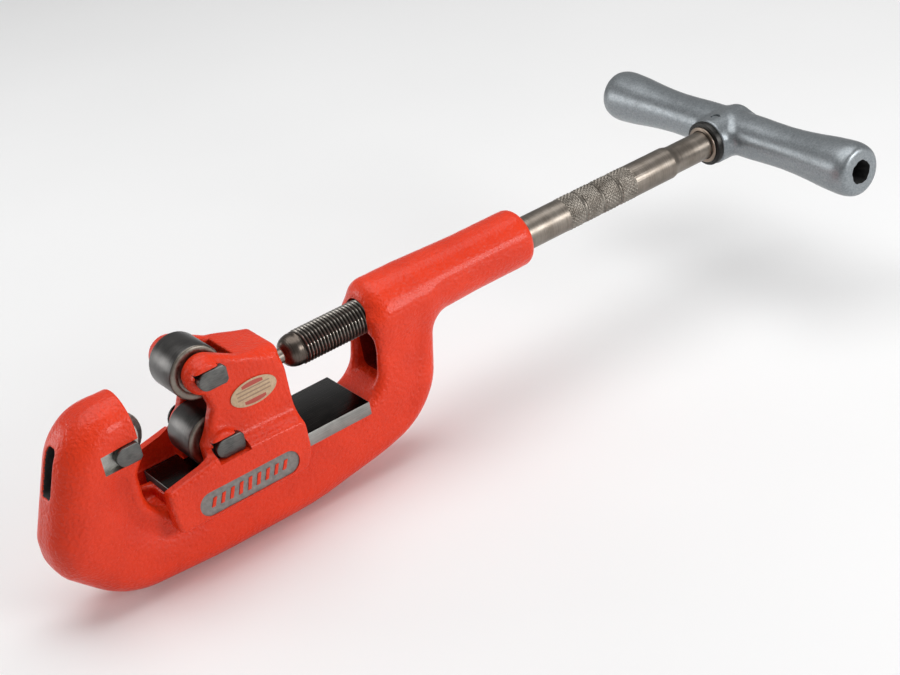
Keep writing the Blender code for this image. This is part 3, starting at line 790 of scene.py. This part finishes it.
def build_pins(mats):
    centre = (WHEEL[0], 0, WHEEL[1])
    head = (-157.2, -143.4, 5.0, -19.8, -15.7)
    build_pin("wheel_pin", centre, WHEEL_PIN_R, head, 22.4, (19.2, 20.6), "frame", mats)
    for name, z in (("upper", ROLLER_Z), ("lower", -ROLLER_Z)):
        head = (-107.6, -91.2, 5.1, -24.3, -20.7)
        build_pin(f"{name}_roller_pin", (ROLLER_X, 0, z), ROLLER_PIN_R, head, 26.0, (22.4, 23.8), "slide", mats)


def build_handle_parts(mats):
    inner = SHANK_END_R + 0.35
    for name, x0, x1, outer, mat in (
        ("handle_washer", 249.8, 253.2, 13.2, "clip_steel"),
        ("handle_snap_ring", 248.4, 249.5, 10.9, "ring_steel"),
    ):
        profile = [
            (x0, outer - 0.4), (x0 + 0.15, outer - 0.12), (x0 + 0.4, outer), (x1 - 0.2, outer),
            (x1, outer - 0.2),
        ]
        ring = turned(f"{name}_turned", profile, "X")
        combine(ring, [rod("hole", "X", x0 - 2, x1 + 2, inner)], "DIFFERENCE")
        dress(ring, [mats[mat]], "screw", (name,))
    profile = [(-13.0, 1.9), (-12.6, CROSS_PIN_R), (12.5, CROSS_PIN_R), (12.9, 2.2), (13.0, 1.2)]
    pin = turned("handle_cross_pin_staked", profile, "Z", (CROSS_PIN_X, 0, 0), 48)
    dress(pin, [mats["handle_paint"]], "screw", ("handle_cross_pin",))


def build_label(mats):
    x, z, half_x, half_z = LABEL
    points = [(x + (px - x) * half_x, z + (pz - z) * half_z) for px, pz in arc(x, z, 1.0, 0, 356, 89)]
    label = soften(plate("oval_label_printed", points, -SLIDE_HALF - 0.62, -SLIDE_HALF - 0.3), 0.1, 2)
    dress(label, [mats["label_print"]], "slide", ("oval_label",))


def dress_small_nodes(mats):
    """Better materials for the small CAD pieces that stay as they are."""
    for node in ("wheel_pin_clip", "upper_pin_clip", "lower_pin_clip"):
        restyle(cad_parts[node], mats["clip_steel"])
    for node in ("thrust_button", "nose_pin_left", "nose_pin_right"):
        restyle(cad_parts[node], mats["pin_steel"])


def restyle(obj, mat):
    if not obj.material_slots:
        obj.data.materials.append(mat)
    for slot in obj.material_slots:
        slot.material = mat


# ------------------------------------------------------------------- materials

class Shader:
    """A small builder for procedural materials, in object coordinates in metres."""

    def __init__(self, name, metallic=0.0, coat=0.0, coat_roughness=0.1, specular=0.5):
        self.mat = bpy.data.materials.new(name)
        self.mat.use_nodes = True
        self.tree = self.mat.node_tree
        self.bsdf = self.tree.nodes["Principled BSDF"]
        self.bsdf.inputs["Metallic"].default_value = metallic
        self.bsdf.inputs["Coat Weight"].default_value = coat
        self.bsdf.inputs["Coat Roughness"].default_value = coat_roughness
        self.bsdf.inputs["Specular IOR Level"].default_value = specular
        self.coords = self.tree.nodes.new("ShaderNodeTexCoord").outputs["Object"]
        self.height = None

    def link(self, source, target):
        self.tree.links.new(source, target)

    def stretched(self, scale):
        node = self.tree.nodes.new("ShaderNodeMapping")
        node.inputs["Scale"].default_value = scale
        self.link(self.coords, node.inputs["Vector"])
        return node.outputs["Vector"]

    def noise(self, scale, detail=2.0, roughness=0.5, stretch=None):
        node = self.tree.nodes.new("ShaderNodeTexNoise")
        node.inputs["Scale"].default_value = scale
        node.inputs["Detail"].default_value = detail
        node.inputs["Roughness"].default_value = roughness
        self.link(self.stretched(stretch) if stretch else self.coords, node.inputs["Vector"])
        return node.outputs["Fac"]

    def cells(self, scale, smoothness=1.0):
        node = self.tree.nodes.new("ShaderNodeTexVoronoi")
        node.feature = "SMOOTH_F1"
        node.inputs["Scale"].default_value = scale
        node.inputs["Smoothness"].default_value = smoothness
        self.link(self.coords, node.inputs["Vector"])
        return node.outputs["Distance"]

    def ramp(self, source, stops):
        """Colour or grey from a value; stops are (position, colour or grey)."""
        node = self.tree.nodes.new("ShaderNodeValToRGB")
        elements = node.color_ramp.elements
        while len(elements) < len(stops):
            elements.new(0.5)
        for element, (position, value) in zip(elements, stops):
            element.position = position
            element.color = (value, value, value, 1) if isinstance(value, (int, float)) else (*value, 1)
        self.link(source, node.inputs["Fac"])
        return node.outputs["Color"]

    def math(self, operation, a, b=None):
        node = self.tree.nodes.new("ShaderNodeMath")
        node.operation = operation
        for socket, value in zip(node.inputs, (a, b)):
            if value is None:
                continue
            if isinstance(value, (int, float)):
                socket.default_value = value
            else:
                self.link(value, socket)
        return node.outputs["Value"]

    def hypot(self, a, b):
        squares = self.math("ADD", self.math("POWER", a, 2.0), self.math("POWER", b, 2.0))
        return self.math("SQRT", squares)

    def axes(self):
        node = self.tree.nodes.new("ShaderNodeSeparateXYZ")
        self.link(self.coords, node.inputs["Vector"])
        return node.outputs["X"], node.outputs["Y"], node.outputs["Z"]

    def mix(self, factor, a, b):
        node = self.tree.nodes.new("ShaderNodeMix")
        node.data_type = "RGBA"
        for socket, value in ((node.inputs["Factor"], factor), (node.inputs["A"], a), (node.inputs["B"], b)):
            if isinstance(value, tuple):
                socket.default_value = (*value, 1)
            elif isinstance(value, (int, float)):
                socket.default_value = value
            else:
                self.link(value, socket)
        return node.outputs["Result"]

    def color(self, source):
        self.link(source, self.bsdf.inputs["Base Color"])

    def roughness(self, source):
        self.link(source, self.bsdf.inputs["Roughness"])

    def bump(self, source, depth_mm, strength=1.0):
        """Adds a layer of relief, depth in millimetres."""
        node = self.tree.nodes.new("ShaderNodeBump")
        node.inputs["Distance"].default_value = depth_mm * MM
        node.inputs["Strength"].default_value = strength
        self.link(source, node.inputs["Height"])
        if self.height is not None:
            self.link(self.height, node.inputs["Normal"])
        self.height = node.outputs["Normal"]
        self.link(self.height, self.bsdf.inputs["Normal"])


def cast_paint(name, dark, light):
    """Glossy enamel over a sand-cast surface: lumps, orange peel and a few pits."""
    shader = Shader(name, coat=0.14, coat_roughness=0.12, specular=0.24)
    shader.color(shader.ramp(shader.noise(40, 3), [(0.3, dark), (0.7, light)]))
    shader.roughness(shader.ramp(shader.noise(160, 2), [(0.3, 0.3), (0.7, 0.42)]))
    shader.bump(shader.noise(95, 2, 0.5), 1.0, 0.5)
    shader.bump(shader.noise(480, 2, 0.55), 0.9, 1.0)
    pits = shader.ramp(shader.cells(260, 0.3), [(0.06, 0.0), (0.13, 1.0)])
    shader.bump(pits, 0.12, 0.5)
    return shader.mat


def hammered_paint(name):
    """Silver-grey metallic paint with a fine grain."""
    shader = Shader(name, metallic=0.75, coat=0.15, coat_roughness=0.25)
    shader.color(shader.ramp(shader.noise(900, 3), [(0.3, (0.2, 0.22, 0.235)), (0.7, (0.3, 0.325, 0.34))]))
    shader.roughness(shader.ramp(shader.noise(300, 2), [(0.3, 0.34), (0.7, 0.44)]))
    shader.bump(shader.noise(90, 2), 0.3, 0.5)
    shader.bump(shader.noise(900, 3), 0.1, 0.7)
    return shader.mat


def machined(name, dark, light, rough, stretch, line_depth=0.02, metallic=1.0):
    """Bare steel with tool marks along the long axis of the stretch."""
    shader = Shader(name, metallic=metallic)
    marks = shader.noise(1.0, 4, 0.6, stretch)
    blotch = shader.noise(130, 3)
    blend = shader.math("ADD", shader.math("MULTIPLY", marks, 0.5), shader.math("MULTIPLY", blotch, 0.5))
    shader.color(shader.ramp(blend, [(0.35, dark), (0.65, light)]))
    shader.roughness(shader.ramp(marks, [(0.3, rough - 0.06), (0.7, rough + 0.1)]))
    shader.bump(marks, line_depth, 0.8)
    return shader.mat


def thread_material():
    """Dark thread whose colour follows the radius: painted shade in the roots, painted highlight on the crests,
    and random patches.
    """
    shader = Shader("thread_steel", metallic=1.0)
    _, side, up = shader.axes()
    height = shader.math("SUBTRACT", up, AXIS_UP)
    radius = shader.hypot(side, height)
    share = shader.math("DIVIDE", shader.math("SUBTRACT", radius, ROOT_R * MM), (CREST_R - ROOT_R) * MM)
    patchy = shader.math("MULTIPLY", shader.math("SUBTRACT", shader.noise(400, 3), 0.5), 0.35)
    crest_highlight_and_patches = shader.math("ADD", share, patchy)
    stops = [(0.1, (0.05, 0.045, 0.04)), (0.6, (0.11, 0.1, 0.09)), (0.95, (0.3, 0.28, 0.25))]
    shader.color(shader.ramp(crest_highlight_and_patches, stops))
    shader.roughness(shader.ramp(crest_highlight_and_patches, [(0.2, 0.5), (0.9, 0.3)]))
    shader.bump(shader.noise(1400, 2), 0.03, 0.5)
    return shader.mat


def label_material():
    """A printed oval: a border, two plain coloured panels and plain rules between them."""
    shader = Shader("label_print", coat=0.3, coat_roughness=0.12)
    x, z, half_x, half_z = LABEL
    across, _, up = shader.axes()
    u = shader.math("DIVIDE", shader.math("SUBTRACT", across, (x + SHIFT[0]) * MM), half_x * MM)
    v = shader.math("DIVIDE", shader.math("SUBTRACT", up, (z + SHIFT[2]) * MM), half_z * MM)
    reach = shader.hypot(u, v)
    paper = shader.ramp(shader.noise(900, 3), [(0.3, (0.44, 0.3, 0.17)), (0.7, (0.56, 0.4, 0.25))])
    inside = shader.math("LESS_THAN", reach, 0.86)
    high = shader.math("MULTIPLY", shader.math("GREATER_THAN", shader.math("ABSOLUTE", v), 0.5), inside)
    narrow = shader.math("LESS_THAN", shader.math("ABSOLUTE", u), 0.46)
    panel = shader.math("MULTIPLY", high, narrow)
    wave = shader.math("SINE", shader.math("MULTIPLY", v, 21.0))
    middle = shader.math("LESS_THAN", shader.math("ABSOLUTE", v), 0.42)
    stripes = shader.math("MULTIPLY", shader.math("GREATER_THAN", wave, 0.35), middle)
    rules = shader.math("MULTIPLY", stripes, shader.math("LESS_THAN", shader.math("ABSOLUTE", u), 0.72))
    tint = shader.mix(panel, paper, (0.42, 0.05, 0.03))
    tint = shader.mix(shader.math("MULTIPLY", rules, 0.6), tint, (0.16, 0.08, 0.05))
    shader.color(tint)
    shader.roughness(shader.ramp(shader.noise(700, 2), [(0.3, 0.3), (0.7, 0.45)]))
    shader.bump(shader.noise(1200, 2), 0.03, 0.5)
    return shader.mat


def badge_material():
    shader = Shader("badge_grey", metallic=0.35)
    shader.color(shader.ramp(shader.noise(420, 3), [(0.3, (0.17, 0.16, 0.15)), (0.7, (0.26, 0.25, 0.235))]))
    shader.roughness(shader.ramp(shader.noise(600, 2), [(0.3, 0.42), (0.7, 0.6)]))
    shader.bump(shader.noise(1100, 3), 0.1, 0.7)
    return shader.mat


# Bare steels: name, dark and light colour, roughness, stretch of the tool marks and, where given, their depth
ALONG_X = (60, 2600, 2600)
ROUND_X = (2200, 40, 40)
ROUND_Y = (40, 2400, 40)
STEELS = {
    "rail_side": ("rail_side_ground", (0.2, 0.2, 0.19), (0.36, 0.36, 0.34), 0.4, ALONG_X),
    # rail_top: dark oxide, darkened further as painted shade for the shadowed jaws.
    "rail_top": ("rail_top_oxide_and_painted_shade", (0.012, 0.01, 0.009), (0.035, 0.03, 0.027), 0.2, ALONG_X, 0.01),
    # seat_dark: dark milled steel, partly painted shade in the seat gaps and under the slide.
    "seat_dark": ("seat_milled_steel_and_painted_shade", (0.02, 0.02, 0.02), (0.07, 0.068, 0.065), 0.45, (1700, 60, 1700)),
    "seat_steel": ("seat_milled", (0.3, 0.3, 0.28), (0.55, 0.54, 0.5), 0.4, (1700, 60, 1700)),
    "pin_steel": ("pin_key_steel", (0.07, 0.07, 0.068), (0.17, 0.168, 0.16), 0.36, (300, 300, 2000)),
    "clip_steel": ("clip_black_steel", (0.02, 0.02, 0.02), (0.06, 0.058, 0.055), 0.4, (900, 900, 900)),
    "ring_steel": ("ring_tan_steel", (0.2, 0.16, 0.13), (0.32, 0.26, 0.21), 0.34, ROUND_X),
    "shank_steel": ("shank_turned", (0.17, 0.145, 0.12), (0.3, 0.265, 0.23), 0.36, ROUND_X, 0.012),
    "knurl_steel": ("knurl_rolled", (0.14, 0.12, 0.1), (0.36, 0.33, 0.29), 0.4, (900, 900, 900)),
    "nose_steel": ("nose_turned", (0.06, 0.048, 0.04), (0.16, 0.135, 0.115), 0.3, ROUND_X, 0.01),
    "roller_steel": ("roller_hardened", (0.06, 0.058, 0.056), (0.12, 0.116, 0.112), 0.34, ROUND_Y, 0.012),
    "roller_face": ("roller_face_turned", (0.17, 0.15, 0.125), (0.3, 0.27, 0.235), 0.4, (500, 60, 500)),
    "wheel_steel": ("wheel_ground", (0.34, 0.33, 0.31), (0.55, 0.54, 0.51), 0.36, (700, 1500, 700)),
}


def all_materials():
    red = ((0.68, 0.032, 0.006), (0.8, 0.043, 0.009))
    shaded_red = ((0.14, 0.006, 0.003), (0.22, 0.009, 0.004))
    black = ((0.012, 0.012, 0.012), (0.04, 0.04, 0.04))
    mats = {name: machined(*values) for name, values in STEELS.items()}
    mats["frame_paint"] = cast_paint("frame_paint_cast", *red)
    mats["slide_paint"] = cast_paint("slide_paint_cast", *red)
    mats["handle_paint"] = hammered_paint("handle_hammered")
    # inner_paint is painted shade: a darkened red for the pocket and channel walls.
    mats["inner_paint"] = cast_paint("inner_paint_shaded", *shaded_red)
    # hole_painted_shade is painted shade: flat black for the rail's front end, the hook's slot and the handle's
    # end holes.
    mats["hole_painted_shade"] = machined("hole_painted_shade_black", *black, 0.7, (500, 500, 500), 0.2, 0.0)
    mats["thread_steel"] = thread_material()
    mats["label_print"] = label_material()
    mats["badge_grey"] = badge_material()
    return mats


# ------------------------------------------------------- floor, lights, camera

def plain_material(name, value):
    shader = Shader(name)
    shader.color(shader.ramp(shader.noise(4, 2), [(0.3, value - 0.01), (0.7, value + 0.01)]))
    shader.roughness(shader.ramp(shader.noise(6, 2), [(0.3, 0.75), (0.7, 0.85)]))
    return shader.mat


def build_floor():
    size = 4.0
    level = -0.0005
    corners = [(-size, -size, level), (size, -size, level), (size, size, level), (-size, size, level)]
    mesh = bpy.data.meshes.new("studio_floor")
    mesh.from_pydata(corners, [], [(0, 1, 2, 3)])
    floor = bpy.data.objects.new("studio_floor", mesh)
    floor.data.materials.append(plain_material("studio_white", 0.9))
    bpy.context.scene.collection.objects.link(floor)


def area_light(name, position, target, size, power):
    data = bpy.data.lights.new(name, "AREA")
    data.shape = "RECTANGLE"
    data.size, data.size_y = size
    data.energy = power
    light = bpy.data.objects.new(name, data)
    light.location = position
    light.rotation_euler = (Vector(target) - Vector(position)).to_track_quat("-Z", "Y").to_euler()
    bpy.context.scene.collection.objects.link(light)


def build_lights():
    world = bpy.data.worlds.new("studio")
    world.use_nodes = True
    background = world.node_tree.nodes["Background"]
    background.inputs["Color"].default_value = (1, 1, 1, 1)
    background.inputs["Strength"].default_value = 0.3
    bpy.context.scene.world = world
    middle = (0.0, 0.0, 0.06)
    area_light("key_light", (0.65, -1.2, 0.5), middle, (0.6, 0.4), 9.5)
    area_light("top_light", (0.1, 0.15, 1.5), middle, (1.7, 1.3), 17)
    area_light("rear_light", (-0.85, 0.95, 0.34), middle, (0.5, 0.5), 3.6)


def build_camera():
    azimuth = math.radians(CAM_AZIMUTH)
    elevation = math.radians(CAM_ELEVATION)
    roll = math.radians(CAM_ROLL)
    level = math.cos(elevation)
    back = Vector((math.sin(azimuth) * level, -math.cos(azimuth) * level, math.sin(elevation)))
    right = Vector((math.cos(azimuth), math.sin(azimuth), 0.0))
    up = back.cross(right)
    across = right * math.cos(roll) + up * math.sin(roll)
    upright = up * math.cos(roll) - right * math.sin(roll)
    data = bpy.data.cameras.new("camera")
    data.sensor_width = 36.0
    data.lens = CAM_LENS
    camera = bpy.data.objects.new("camera", data)
    turn = Matrix((across, upright, back)).transposed().to_4x4()
    place = (Vector(CAM_TARGET) + Vector(SHIFT) + back * CAM_DISTANCE) * MM
    camera.matrix_world = Matrix.Translation(place) @ turn
    bpy.context.scene.collection.objects.link(camera)
    bpy.context.scene.camera = camera


def main():
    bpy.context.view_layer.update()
    bpy.context.scene.view_settings.view_transform = "Standard"
    build_camera()
    mats = all_materials()
    build_frame(mats)
    build_slide(mats)
    build_handle(mats)
    build_screw(mats)
    build_rollers(mats)
    build_wheel(mats)
    build_pins(mats)
    build_handle_parts(mats)
    build_label(mats)
    dress_small_nodes(mats)
    build_floor()
    build_lights()


main()
